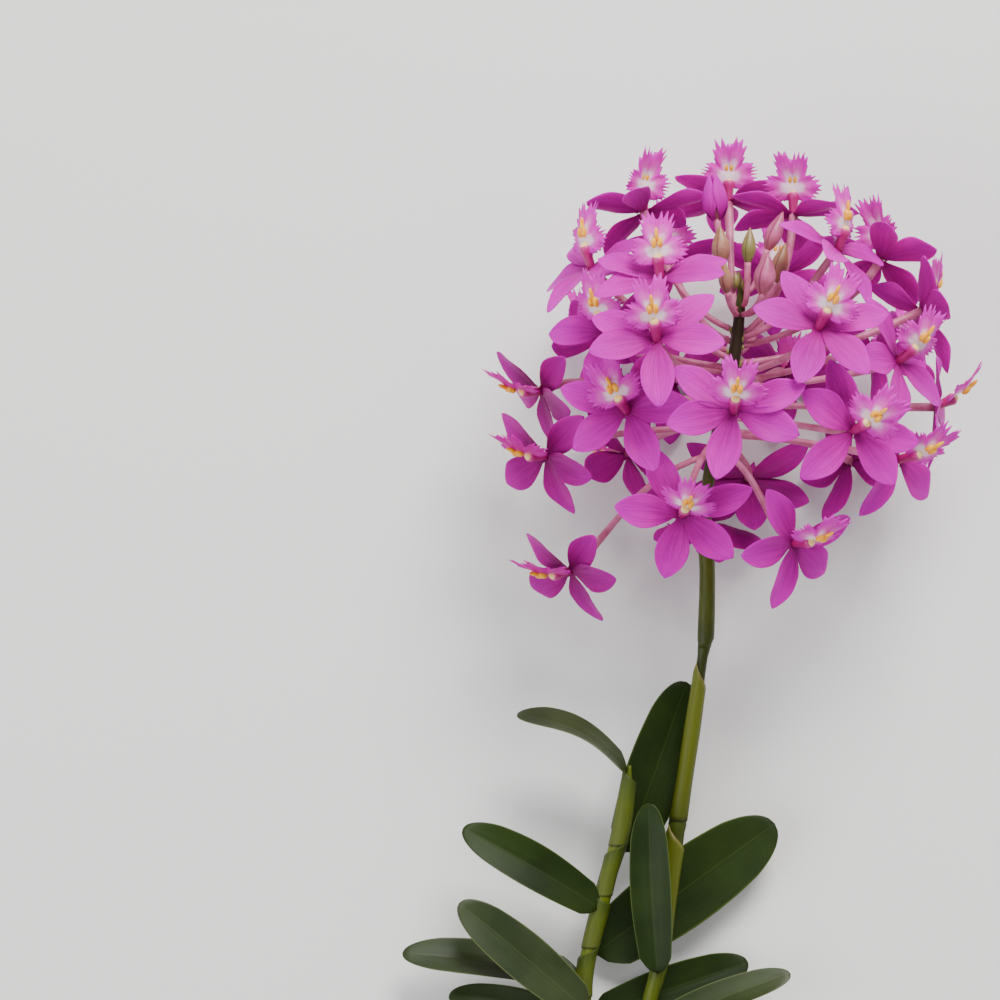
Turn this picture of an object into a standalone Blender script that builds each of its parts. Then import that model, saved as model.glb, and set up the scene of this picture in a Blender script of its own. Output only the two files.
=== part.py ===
"""A flowering cane of a reed-stem epidendrum orchid, cut and laid down on a surface.

The plant is drawn in its own frame: +X to the viewer's right, +Y along the cane towards the flower
head, +Z towards the viewer, with the origin at the middle of the head. The empty named plant then
lays it down, with the cut end on the surface and the head resting on its rearmost blooms.
"""

import math

import bmesh
import bpy
import numpy as np
from mathutils import Matrix, Vector

MM = 0.001

# Driving dimensions, in millimetres and degrees.
HEAD_HEIGHT = 47.5      # middle of the head above the surface
LEAN = 12.48            # slope of the cane, from its cut end up to the head
HEAD_X = 12.1           # places the origin below the middle of the whole plant
HEAD_Y = 69.1
TEPAL_LENGTH = 20.0
TEPAL_WIDTH = 9.0
TEPAL_THICKNESS = 0.9
TEPAL_FOOT = 0.6        # how far from the flower's middle a tepal starts
TEPAL_DROOP = 2.4       # how far its tip bends back
TEPAL_CUP = 1.1         # how far its edges rise
TEPAL_SWAY = 7.0        # how much direction and lift differ between tepals
TEPAL_SHAPE = 1.28      # moves its broadest place past its middle
TEPAL_STATIONS = 5
COLUMN_LENGTH = 6.8
COLUMN_SINK = 0.8       # how deep the column's foot stands in the ovary
COLUMN_RINGS = ((0.05, 1.2), (0.6, 1.45), (0.85, 1.85), (0.96, 1.3))
COLUMN_TILT = 24.0      # the column leans towards the lip by this much
LIP_TILT = 43.0         # angle between the lip's middle lobe and the flower's axis
LIP_THICKNESS = 0.62
LIP_BASE = (0.0, 4.0, 6.5)
LIP_SIDE_BEND = 0.018   # the lip's lobes bend back by these shares of their reach, squared
LIP_END_BEND = 0.012
PEDICEL_RADIUS = 1.05
OVARY_RADIUS = 1.3
PEDICEL_RISE = 0.35     # share of its slope along the cane that a pedicel leaves it with
LOWEST_PEDICEL = -27.0  # where the lowest and the highest pedicel leave the head's axis
HIGHEST_PEDICEL = 10.0
SEAT_GAP = 0.35         # a pedicel, bud or leaf stops this far from the stem that carries it
SLANT_ROOM = 0.25       # more room for the slanting end of a pedicel
BUD_STALKS = (12.5, 19.0)   # the stretch of the head's axis that carries the buds
BUD_STALK_LENGTH = 11.0
BUD_STALK_RADII = (0.75, 0.8, 0.85, 0.95, 1.0)
BUD_NARROWING = 0.35    # a bud is narrower at its tip than at its foot by this share
BUD_GIRTH = 0.57        # its radius at the foot, as a share of its width
LEAF_THICKNESS = 1.1
LEAF_FOLD = 1.6         # how far a leaf's edges rise
LEAF_BASE = 0.66        # width at its clasping base, as a share
LEAF_ROUNDNESS = 2.6    # how blunt its tip is
LEAF_STATIONS = 8
LEAF_BUNCHING = 1.6     # draws the stations towards the round tip

# The five tepals of a bloom, seen from the front: direction, length and width as shares, lift.
TEPALS = (
    (270.0, 0.96, 1.04, 4.0),
    (345.0, 0.93, 1.06, 9.0),
    (195.0, 0.93, 1.06, 9.0),
    (35.0, 1.02, 0.94, 2.0),
    (145.0, 1.02, 0.94, 2.0),
)

# Half of the lip's outline: angle from the middle lobe's direction, in degrees, and radius.
LIP_HALF = (
    (0, 8.2),
    (10, 11.0),
    (17, 9.8),
    (26, 11.2),
    (37, 7.0),
    (46, 4.8),
    (60, 7.8),
    (75, 6.8),
    (92, 7.8),
    (112, 6.8),
    (142, 4.4),
    (180, 2.2),
)
CALLUS = (2.6, 1.1)     # how far along the lip its raised callus stands, and how high

# Each bloom: middle of the flower (x, y, z), then where it faces (yaw right of the viewer, pitch up)
# and its roll about that direction, which swings the lip.
BLOOMS = (
    # the front of the head
    (-4, -15.5, 46, -4, 6, -8),
    (-24.5, 4, 40, -8, 22, 6),
    (-23, 21, 27, -14, 46, 4),
    (-32, -15, 27, -18, 10, 22),
    (19, 7, 40, 10, 26, -30),
    (29, -20.5, 34, 14, 2, -44),
    (-17, -43, 27, -4, -10, -22),
    # its left side
    (-37, 7.5, 12, -40, 22, -4),
    (-55, -8.5, -5, -64, -26, -10),
    (-54, -27, 10, -50, -24, 0),
    (-47, -59, 3, -54, -34, 0),
    (-41, 26, 0, -56, 44, 0),
    (-26, 42, -8, -146, 58, 8),
    # its right side
    (43, -1, 15, 52, 14, -24),
    (52, 14, -7, 112, 24, -14),
    (56, -13, -8, 84, 0, 0),
    (43.5, -28, 13, 48, -10, -24),
    (14, -51, 20, 40, -20, -10),
    (27, 30, 10, 56, 44, 0),
    (41, 29, -12, 146, 48, -20),
    # the top
    (-1, 46, -24, 180, 62, 0),
    (16, 41, -6, 166, 66, 0),
    (-17.5, 29, -32, -160, 48, 0),
    (13.5, 25, -36, 168, 34, 0),
    # the back, on which the head lies
    (5, -33, -28, 176, -30, 0),
    (-37.5, 7, -33, -134, 14, 0),
    (-16, -4, -40, -168, -4, 0),
    (16, -2, -42, 164, -6, 0),
    (41, 4, -28, 120, 6, 0),
    (34, -28, -26, 128, -22, 0),
    (-30, -26, -28, -134, -26, 0),
    (-8, -46, -24, -160, -46, 0),
)

# Each bud: its foot and its tip (x, y, z), and its width.
BUDS = (
    ((-5.0, 25.0, 8.0), (-5.6, 37.0, 9.0), 5.4),
    ((2.4, 26.0, 4.0), (3.2, 37.0, 3.5), 4.2),
    ((-3.6, 17.5, 11.5), (-5.0, 26.5, 15.0), 4.2),
    ((5.8, 17.0, 12.0), (7.4, 29.0, 14.5), 6.4),
    ((9.8, 20.5, 4.5), (13.0, 32.5, 4.5), 5.0),
    ((8.0, 30.0, -2.5), (13.0, 42.0, -3.5), 5.0),
    ((-5.6, 38.5, -1.0), (-7.2, 52.0, -1.5), 6.2),
)

# The flowering cane, from its cut end to the tip of the head's axis: (x, y, z) and radius.
CANE = (
    (-31.0, -209.0, 0.0, 2.35),
    (-27.6, -193.0, 0.0, 2.25),
    (-24.6, -179.0, 0.0, 2.2),
    (-22.2, -170.0, 0.0, 2.45),
    (-19.6, -151.0, 0.0, 2.25),
    (-17.2, -132.0, 0.0, 2.45),
    (-15.0, -118.0, 0.0, 2.1),
    (-12.6, -102.0, 0.0, 2.1),
    (-10.6, -88.0, 0.0, 1.65),
    (-9.4, -80.0, 0.0, 1.65),
    (-9.0, -77.0, 0.0, 2.15),
    (-8.6, -60.0, 0.0, 1.95),
    (-9.0, -40.0, 0.0, 1.9),
    (-5.6, -20.0, 0.0, 1.9),
    (-1.2, 0.0, 0.0, 1.9),
    (0.6, 14.0, 0.0, 1.6),
    (1.0, 21.0, 0.0, 1.0),
)

# The leafy shoot, from its joint with the cane to its top.
SHOOT = (
    (-32.3, -200.2, 0.4, 2.0),
    (-38.0, -195.0, 1.4, 2.3),
    (-42.6, -186.0, 1.5, 2.45),
    (-43.4, -176.0, 1.0, 2.5),
    (-42.0, -167.0, 0.0, 2.3),
    (-39.2, -156.0, -0.5, 2.55),
    (-36.4, -145.0, -0.5, 2.3),
    (-33.2, -134.0, -0.5, 2.5),
    (-31.2, -122.0, -0.5, 2.2),
    (-30.2, -113.5, -0.5, 1.3),
)

# Each leaf: root and tip (x, y, z), width, the way its upper face looks, and its arch.
LEAVES = (
    ((-32.4, -115.0, 0.0), (-62.0, -99.0, 6.0), 11.5, (0.25, 1.0, 0.55), 4.5),
    ((-31.0, -137.0, -5.4), (-14.0, -90.5, -9.0), 17.5, (0.2, 0.0, 1.0), 1.5),
    ((-40.2, -152.5, 1.6), (-77.0, -130.6, 6.0), 13.0, (-0.1, 0.45, 0.9), 2.0),
    ((-43.6, -180.5, 4.4), (-78.0, -151.0, 9.0), 13.5, (-0.1, 0.35, 0.95), 2.0),
    ((-45.7, -172.5, 0.2), (-94.0, -166.0, 1.0), 12.0, (0.0, 0.6, 0.8), 2.0),
    ((-45.4, -186.5, 0.8), (-81.0, -178.0, -1.0), 11.5, (0.0, 0.5, 0.85), 2.0),
    ((-22.6, -170.0, 3.1), (-25.2, -123.5, 6.0), 12.0, (-0.3, 0.0, 1.0), 1.5),
    ((-38.8, -166.0, -5.4), (11.0, -130.5, -8.5), 21.0, (0.1, 0.15, 1.0), 1.5),
    ((-39.0, -184.0, -5.8), (3.4, -169.5, -7.0), 13.0, (0.0, 0.2, 1.0), 1.5),
    ((-23.4, -187.0, 0.4), (14.6, -171.5, 2.5), 10.0, (0.1, 0.6, 0.75), 1.5),
)

# Base colour and roughness of each material.
COLOURS = {
    "petal": ((0.78, 0.06, 0.55, 1.0), 0.45),
    "bud": ((0.56, 0.24, 0.27, 1.0), 0.5),
    "stem": ((0.23, 0.30, 0.05, 1.0), 0.5),
    "leaf": ((0.05, 0.12, 0.03, 1.0), 0.45),
}


def clear_scene():
    for obj in list(bpy.data.objects):
        bpy.data.objects.remove(obj)


def material(name):
    found = bpy.data.materials.get(name)
    if found:
        return found
    made = bpy.data.materials.new(name)
    made.use_nodes = True
    colour, roughness = COLOURS[name]
    shader = made.node_tree.nodes["Principled BSDF"]
    shader.inputs["Base Color"].default_value = colour
    shader.inputs["Roughness"].default_value = roughness
    made.diffuse_color = colour
    return made


def unit(vector):
    return Vector(vector).normalized()


def new_object(name, bm, collection):
    mesh = bpy.data.meshes.new(name)
    bm.to_mesh(mesh)
    bm.free()
    obj = bpy.data.objects.new(name, mesh)
    collection.objects.link(obj)
    return obj


def laid_height(point):
    """Height above the surface of a point of the plant's frame, once the plant is laid down."""
    lean = math.radians(LEAN)
    return point[1] * math.sin(lean) + point[2] * math.cos(lean) + HEAD_HEIGHT


def pressed(point, least):
    """The point, lifted to stand at least this high above the surface on which the plant lies."""
    lean = math.radians(LEAN)
    short = least - laid_height(point)
    if short <= 0:
        return point
    return point + Vector((0.0, math.sin(lean), math.cos(lean))) * short


def bloom_frame(bloom):
    """Right, lip-ward and forward directions of a bloom, as the columns of a matrix."""
    yaw, pitch, roll = (math.radians(a) for a in bloom[3:])
    forward = Vector(
        (math.sin(yaw) * math.cos(pitch), math.sin(pitch), math.cos(yaw) * math.cos(pitch))
    )
    along = Vector((0.0, 1.0, 0.0))
    lipward = unit(along - forward * along.dot(forward))
    lipward = Matrix.Rotation(roll, 3, forward) @ lipward
    right = lipward.cross(forward)
    return Matrix((right, lipward, forward)).transposed()


def tepal_width(t):
    """A tepal is broadest past its middle and has a narrow base."""
    return math.sin(math.pi * t**TEPAL_SHAPE)


def blade(name, place, width_at, thickness, stations, bunching, collection):
    """A lens-shaped blade from a four-sided sphere. place(t, side, over) gives a point of the plant's
    frame: t along the blade, side across it from -1 to 1, over the height off its middle surface.
    The stations are bunched towards the tip where bunching is above 1."""
    bm = bmesh.new()
    bmesh.ops.create_uvsphere(bm, u_segments=4, v_segments=stations, radius=1.0)
    for vert in bm.verts:
        t = 1.0 - (1.0 - math.acos(max(-1.0, min(1.0, -vert.co.z))) / math.pi) ** bunching
        ring = math.hypot(vert.co.x, vert.co.y)
        side = round(vert.co.x / ring) if ring > 1e-4 else 0
        over = round(vert.co.y / ring) if ring > 1e-4 else 0
        share = max(width_at(t), 0.12) if ring > 1e-4 else 0.0
        height = over * thickness / 2 * min(1.0, 2.5 * share)
        point = place(t, side * share, height)
        least = thickness * 0.85 if over > 0 else 0.0
        vert.co = pressed(point, least) * MM
    return new_object(name, bm, collection)


def tepal(bloom, frame, number, collection):
    angle, long, wide, lift = TEPALS[number]
    length, width = TEPAL_LENGTH * long, TEPAL_WIDTH * wide
    middle = Vector(bloom[:3])
    sway = TEPAL_SWAY * math.sin(2.3 * number + 1.7 * bloom[0] + 0.9 * bloom[1])
    lift += TEPAL_SWAY * math.sin(1.9 * number + bloom[1] + bloom[5])
    turned = math.radians(angle + sway)
    rise = math.tan(math.radians(lift))
    out = Vector((math.cos(turned), math.sin(turned), 0.0))
    across = Vector((-math.sin(turned), math.cos(turned), 0.0))

    def place(t, side, over):
        along = TEPAL_FOOT + t * (length - TEPAL_FOOT)
        droop = TEPAL_DROOP * t * t
        cup = TEPAL_CUP * side * side
        up = rise * along - droop + cup + over
        return middle + frame @ (out * along + across * (side * width / 2) + Vector((0, 0, up)))

    return blade(
        "tepal", place, tepal_width, TEPAL_THICKNESS, TEPAL_STATIONS, 1.0, collection
    )


def lip(bloom, frame, collection):
    """The fringed three-lobed lip: a disc cut to its outline, bent and given its thickness."""
    tilt = math.radians(LIP_TILT)
    middle = Vector(bloom[:3])
    outline = [(math.radians(a), r) for a, r in LIP_HALF]
    outline += [(-a, r) for a, r in reversed(outline[1:-1])]
    flat = [(r * math.sin(a), r * math.cos(a), 0.0) for a, r in outline]
    bm = bmesh.new()
    bmesh.ops.create_circle(
        bm, cap_ends=True, cap_tris=True, radius=1.0, segments=len(outline)
    )
    rim = [vert for vert in bm.verts if vert.co.length > 0.5]
    centre = next(vert for vert in bm.verts if vert.co.length < 0.5)
    for vert, (u, v, raised) in [*zip(rim, flat), (centre, (0.0, *CALLUS))]:
        bend = raised - LIP_SIDE_BEND * u * u - LIP_END_BEND * v * abs(v)
        local = Vector(LIP_BASE) + Vector(
            (u, v * math.sin(tilt) - bend * math.cos(tilt), v * math.cos(tilt) + bend * math.sin(tilt))
        )
        vert.co = pressed(middle + frame @ local, LIP_THICKNESS / 2) * MM
    bmesh.ops.recalc_face_normals(bm, faces=bm.faces)
    obj = new_object("lip", bm, collection)
    wall = obj.modifiers.new("wall", "SOLIDIFY")
    wall.thickness = LIP_THICKNESS * MM
    wall.offset = 0.0
    return obj


def column(bloom, frame, collection):
    """The column, which widens to its rounded anther cap, leaning towards the lip."""
    tilt = math.radians(COLUMN_TILT)
    axis = Vector((0.0, math.sin(tilt), math.cos(tilt)))
    turn = frame @ axis.to_track_quat("Z", "Y").to_matrix()
    foot = Vector(bloom[:3]) - frame @ (axis * COLUMN_SINK)
    bm = bmesh.new()
    bmesh.ops.create_uvsphere(bm, u_segments=5, v_segments=5, radius=1.0)
    rings = ((0.0, 0.0), *COLUMN_RINGS, (1.0, 0.0))
    for vert in bm.verts:
        ring = round(math.acos(max(-1.0, min(1.0, -vert.co.z))) / math.pi * 5)
        share, radius = rings[ring]
        around = Vector((vert.co.x, vert.co.y, 0.0))
        if around.length > 0.01:
            around.normalize()
        local = around * radius + Vector((0.0, 0.0, share * (COLUMN_LENGTH + COLUMN_SINK)))
        vert.co = (foot + turn @ local) * MM
    return new_object("column", bm, collection)


def tube(name, points, radii, sides, collection):
    """A tube through the points, with a radius at each, closed at both ends, as a mesh."""
    curve = bpy.data.curves.new(name, "CURVE")
    curve.dimensions = "3D"
    curve.bevel_depth = MM
    curve.bevel_resolution = (sides - 4) // 2
    curve.use_fill_caps = True
    spline = curve.splines.new("POLY")
    spline.points.add(len(points) - 1)
    for knot, point, radius in zip(spline.points, points, radii):
        knot.co = (*(Vector(point) * MM), 1.0)
        knot.radius = radius
    obj = bpy.data.objects.new(name, curve)
    collection.objects.link(obj)
    graph = bpy.context.evaluated_depsgraph_get()
    mesh = bpy.data.meshes.new_from_object(obj.evaluated_get(graph))
    bpy.data.objects.remove(obj)
    bm = bmesh.new()
    bm.from_mesh(mesh)
    bmesh.ops.remove_doubles(bm, verts=bm.verts, dist=1e-6)
    bmesh.ops.recalc_face_normals(bm, faces=bm.faces)
    return new_object(name, bm, collection)


def bezier(a, b, c, d, count):
    steps = [i / (count - 1) for i in range(count)]
    return [
        a * (1 - t) ** 3 + b * 3 * t * (1 - t) ** 2 + c * 3 * t * t * (1 - t) + d * t**3
        for t in steps
    ]


def cane_at(y):
    """Middle and radius of the flowering cane, y along it."""
    rows = np.array(CANE)
    x, z, radius = (np.interp(y, rows[:, 1], rows[:, k]) for k in (0, 2, 3))
    return Vector((x, y, z)), radius


def attachment(order):
    """How far along the head's axis the pedicel of this rank leaves it, lowest bloom first."""
    share = order / (len(BLOOMS) - 1)
    return LOWEST_PEDICEL + (HIGHEST_PEDICEL - LOWEST_PEDICEL) * share


def pedicel(bloom, frame, order, collection):
    middle, forward = Vector(bloom[:3]), frame.col[2]
    axis, radius = cane_at(attachment(order))
    way = middle - axis
    outward = unit((way.x, way.y * PEDICEL_RISE, way.z))
    start = axis + unit((way.x, 0.0, way.z)) * (radius + SEAT_GAP + SLANT_ROOM)
    reach = (middle - start).length
    points = bezier(
        start, start + outward * reach * 0.4, middle - forward * reach * 0.33, middle, 5
    )
    radii = [PEDICEL_RADIUS * 0.85, PEDICEL_RADIUS, PEDICEL_RADIUS, OVARY_RADIUS, OVARY_RADIUS]
    return tube("pedicel", points, radii, 6, collection)


def joined(name, base, pieces, home):
    """Base with the pieces joined to it by one Boolean union; the pieces are then removed."""
    union = base.modifiers.new("union", "BOOLEAN")
    union.operation = "UNION"
    union.operand_type = "COLLECTION"
    union.collection = pieces
    union.solver = "MANIFOLD"
    graph = bpy.context.evaluated_depsgraph_get()
    mesh = bpy.data.meshes.new_from_object(base.evaluated_get(graph))
    obj = bpy.data.objects.new(name, mesh)
    home.objects.link(obj)
    for piece in [*pieces.objects, base]:
        bpy.data.objects.remove(piece)
    return obj


def make_bloom(number, order, home, loose, scratch):
    bloom = BLOOMS[number]
    frame = bloom_frame(bloom)
    base = pedicel(bloom, frame, order, scratch)
    for k in range(len(TEPALS)):
        tepal(bloom, frame, k, loose)
    column(bloom, frame, loose)
    lip(bloom, frame, loose)
    return joined(f"bloom_{number + 1:02d}", base, loose, home)


def make_bud(number, home, loose, scratch):
    foot, tip, width = BUDS[number]
    foot, tip = Vector(foot), Vector(tip)
    axis = tip - foot
    turn = axis.to_track_quat("Z", "Y").to_matrix()
    bm = bmesh.new()
    bmesh.ops.create_uvsphere(bm, u_segments=6, v_segments=6, radius=1.0)
    for vert in bm.verts:
        t = (vert.co.z + 1) / 2
        radius = width * BUD_GIRTH * (1.0 - BUD_NARROWING * t)
        local = Vector((vert.co.x * radius, vert.co.y * radius, 0.0))
        vert.co = (foot + axis * t + turn @ local) * MM
    new_object("bud", bm, loose)
    low, high = BUD_STALKS
    middle, radius = cane_at(min(max(foot.y - BUD_STALK_LENGTH, low), high))
    outward = unit((foot.x - middle.x, 0.5, foot.z - middle.z))
    start = middle + outward * (radius + SEAT_GAP + 0.1)
    points = bezier(start, start + outward * 3.0, foot - unit(axis) * 3.0, foot + unit(axis), 5)
    base = tube("stalk", points, BUD_STALK_RADII, 6, scratch)
    return joined(f"bud_{number + 1}", base, loose, home)


def make_leaf(number, home):
    root, tip, width, looks, arch = LEAVES[number]
    root, tip = Vector(root), Vector(tip)
    along = tip - root
    across = unit(Vector(looks).cross(along))
    over = unit(along.cross(across))

    def place(t, side, height):
        lift = arch * math.sin(math.pi * t) + LEAF_FOLD * side * side
        return root + along * t + across * (side * width / 2) + over * (lift + height)

    return blade(
        f"leaf_{number + 1:02d}",
        place,
        leaf_width,
        LEAF_THICKNESS,
        LEAF_STATIONS,
        LEAF_BUNCHING,
        home,
    )


def leaf_width(t):
    """A leaf is nearly as broad at its clasping base as at its middle, and has a round tip."""
    base = LEAF_BASE + (1.0 - LEAF_BASE) * math.sin(math.pi * t)
    if t < 0.5:
        return base
    return min(base, math.sqrt(1.0 - (2.0 * t - 1.0) ** LEAF_ROUNDNESS))


def main():
    clear_scene()
    scene = bpy.context.scene.collection
    home = bpy.data.collections.new("epidendrum_orchid")
    scratch = bpy.data.collections.new("scratch")
    loose = bpy.data.collections.new("to_join")
    for collection in (home, scratch, loose):
        scene.children.link(collection)

    made = []
    ranks = sorted(range(len(BLOOMS)), key=lambda i: BLOOMS[i][1])
    for number in range(len(BLOOMS)):
        made.append((make_bloom(number, ranks.index(number), home, loose, scratch), "petal"))
    for number in range(len(BUDS)):
        made.append((make_bud(number, home, loose, scratch), "bud"))
    for number in range(len(LEAVES)):
        made.append((make_leaf(number, home), "leaf"))
    for name, rows in (("flowering_cane", CANE), ("leafy_shoot", SHOOT)):
        points = [row[:3] for row in rows]
        radii = [row[3] for row in rows]
        made.append((tube(name, points, radii, 8, home), "stem"))
    for collection in (scratch, loose):
        bpy.data.collections.remove(collection)

    plant = bpy.data.objects.new("plant", None)
    home.objects.link(plant)
    plant.location = (HEAD_X * MM, HEAD_Y * MM, HEAD_HEIGHT * MM)
    plant.rotation_euler = (math.radians(LEAN), 0.0, 0.0)
    for obj, slot in made:
        obj.parent = plant
        obj.data.materials.clear()
        obj.data.materials.append(material(slot))


main()
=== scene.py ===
import math
import random

import bpy
import numpy as np
from mathutils import Matrix, Vector


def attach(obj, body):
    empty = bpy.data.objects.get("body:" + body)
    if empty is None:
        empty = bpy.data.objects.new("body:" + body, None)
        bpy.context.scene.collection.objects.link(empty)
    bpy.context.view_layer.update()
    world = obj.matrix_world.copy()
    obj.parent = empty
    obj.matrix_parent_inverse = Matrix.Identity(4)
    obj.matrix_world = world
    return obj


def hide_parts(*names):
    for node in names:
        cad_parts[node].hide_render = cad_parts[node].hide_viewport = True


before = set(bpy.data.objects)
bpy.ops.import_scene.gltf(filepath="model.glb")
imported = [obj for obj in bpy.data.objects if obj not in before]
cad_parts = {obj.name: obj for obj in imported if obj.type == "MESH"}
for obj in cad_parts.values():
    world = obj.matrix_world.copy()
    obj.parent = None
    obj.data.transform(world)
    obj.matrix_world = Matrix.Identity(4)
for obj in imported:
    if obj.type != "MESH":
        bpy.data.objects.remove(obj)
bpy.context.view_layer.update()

# The cut stem lies on its surface with the flower head propped up on its rearmost blooms. Everything is
# drawn in the plant's own frame, in millimetres: X right, Y up the stem, Z towards the viewer, from
# the middle of the head. This matrix lays the plant down in metres.
MM = 0.001
HEAD = Vector((12.1, 69.1, 47.5)) * MM
LEAN = math.radians(12.48)
plant = Matrix.Translation(HEAD) @ Matrix.Rotation(LEAN, 4, "X") @ Matrix.Scale(MM, 4)


# The camera looks straight down on the plant's own front, from a metre away. The head stands right of
# the middle of its frame, as in the photo.
VIEW_CENTRE = Vector((-66.6, -39.2, 0.0))
VIEW_DISTANCE = 1000.0
VIEW_WIDTH = 280.0
SENSOR_WIDTH = 36.0

bpy.ops.object.camera_add()
camera = bpy.context.object
camera.name = "photo_camera"
camera.matrix_world = plant @ Matrix.Translation(VIEW_CENTRE + Vector((0, 0, VIEW_DISTANCE)))
camera.scale = (1, 1, 1)
camera.data.sensor_width = SENSOR_WIDTH
camera.data.lens = SENSOR_WIDTH * VIEW_DISTANCE / VIEW_WIDTH
bpy.context.scene.camera = camera


# A plain pale table under the plant, matt and without a pattern. It is one flat plane, wide enough to
# reach past every view.
bpy.ops.mesh.primitive_plane_add(size=6.0, location=(0, 0, 0))
floor = bpy.context.object
floor.name = "floor"
table = bpy.data.materials.new("pale_table")
table.use_nodes = True
table.node_tree.nodes["Principled BSDF"].inputs["Base Color"].default_value = (0.82, 0.82, 0.81, 1)
table.node_tree.nodes["Principled BSDF"].inputs["Roughness"].default_value = 0.9
floor.data.materials.append(table)


# Soft studio light: a strong softbox above and beyond the head, a weaker one from the lower left that
# fills the shadows, and a pale room all round.
def softbox(name, place, size, power, colour):
    bpy.ops.object.light_add(type="AREA", location=place)
    light = bpy.context.object
    light.name = name
    light.rotation_euler = (Vector(place) - HEAD).to_track_quat("Z", "Y").to_euler()
    light.data.size = size
    light.data.energy = power
    light.data.color = colour


softbox("key_softbox", (0.25, 0.75, 0.95), 0.6, 22.0, (1.0, 0.98, 0.95))
softbox("fill_softbox", (-0.8, -0.4, 0.7), 0.9, 8.0, (0.95, 0.97, 1.0))
room = bpy.data.worlds.new("studio")
room.use_nodes = True
room.node_tree.nodes["Background"].inputs["Color"].default_value = (1.0, 1.0, 1.0, 1)
room.node_tree.nodes["Background"].inputs["Strength"].default_value = 0.56
bpy.context.scene.world = room


# The blooms: five spreading tepals round a column that is joined to a fringed three-lobed lip, all of
# thin waxy flesh, on a pedicel that grows out of the stem. The pedicel is a round stalk. The other parts
# start as unit spheres, and each bloom draws its own copies out to tepals, lip, column and knobs.
TEPAL_LENGTH = 20.0
TEPAL_WIDTH = 9.0
TEPAL_THICKNESS = 0.55
TEPAL_FOOT = 0.6  # how far from the flower's middle a tepal starts
TEPAL_DROOP = 2.4  # how far its tip bends back
TEPAL_CUP = 1.1  # how far its edges rise
TEPAL_SWAY = 7.0  # how much heading and lift differ between tepals, in degrees
TEPAL_WAVE = 0.35  # height of the waves along its edges
TEPAL_GROOVE = 0.3  # depth of the groove down its middle
TEPAL_VEINS = 0.045  # height of its veins
# each tepal's heading in degrees, its length and width as shares, and its lift in degrees
TEPALS = (
    (270.0, 0.96, 1.04, 4.0),
    (345.0, 0.93, 1.06, 9.0),
    (195.0, 0.93, 1.06, 9.0),
    (35.0, 1.02, 0.94, 2.0),
    (145.0, 1.02, 0.94, 2.0),
)
LIP_BASE = Vector((0.0, 4.0, 6.5))
LIP_TILT = math.radians(43.0)
LIP_THICKNESS = 0.4
LIP_SIDE_BEND = 0.018  # the lobes bend back by these shares of their reach, squared
LIP_END_BEND = 0.012
LIP_RUFFLE = 0.45  # height of the ruffles along its rim
# half of the lip's outline: angle from the middle lobe in degrees, and reach
LIP_HALF = (
    (0, 8.2),
    (8, 10.4),
    (17, 10.8),
    (26, 10.6),
    (36, 7.2),
    (46, 4.8),
    (60, 7.3),
    (78, 7.9),
    (95, 7.7),
    (112, 6.8),
    (142, 4.4),
    (180, 2.2),
)
# how deep the fringe cuts into the lip: angle from the middle lobe, and share of the reach
FRINGE = ((0, 0.2), (6, 0.30), (30, 0.30), (44, 0.08), (52, 0.08), (66, 0.34), (104, 0.34), (126, 0.1))
FRINGE_REACH = 1.14  # how far the teeth stand out, as a share of the outline's reach
TEETH_PER_DEGREE = 0.115
CALLUS_PLACE = 2.6  # the rise under the callus: place along the lip, height and spread
CALLUS_HEIGHT = 1.1
CALLUS_SPREAD = 5.0
# the ridges of the callus: place across and along the lip, and half sizes
RIDGES = (
    (-0.85, 2.3, (0.8, 1.5, 0.95)),
    (0.85, 2.3, (0.8, 1.5, 0.95)),
    (0.0, 4.6, (0.55, 2.0, 0.6)),
)
RIDGE_HEIGHT = 1.15  # how far the ridges' middles stand over the lip's blade
COLUMN_LENGTH = 6.8
COLUMN_SINK = 0.8  # how far behind the flower's middle the column starts
COLUMN_TILT = math.radians(24.0)
# the column from foot to mouth: share of its length, and radius
COLUMN_PROFILE = ((0.0, 0.0), (0.05, 1.2), (0.6, 1.4), (0.8, 1.75), (0.93, 1.6), (1.0, 0.0))
CAP_SIZE = (1.25, 1.25, 0.95)
CAP_SINK = 0.5  # how far the cap sits back from the column's end
LOWEST_PEDICEL = -27.0  # where the lowest and the highest pedicel leave the cane
HIGHEST_PEDICEL = 10.0
PEDICEL_SEAT = 0.6  # how far off the cane a pedicel's middle line starts
PEDICEL_POINTS = 16
# the pedicel from stem to flower: share of its length, and radius
PEDICEL_PROFILE = ((0.0, 0.9), (0.25, 0.92), (0.6, 0.98), (0.8, 1.2), (1.0, 1.3))

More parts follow.
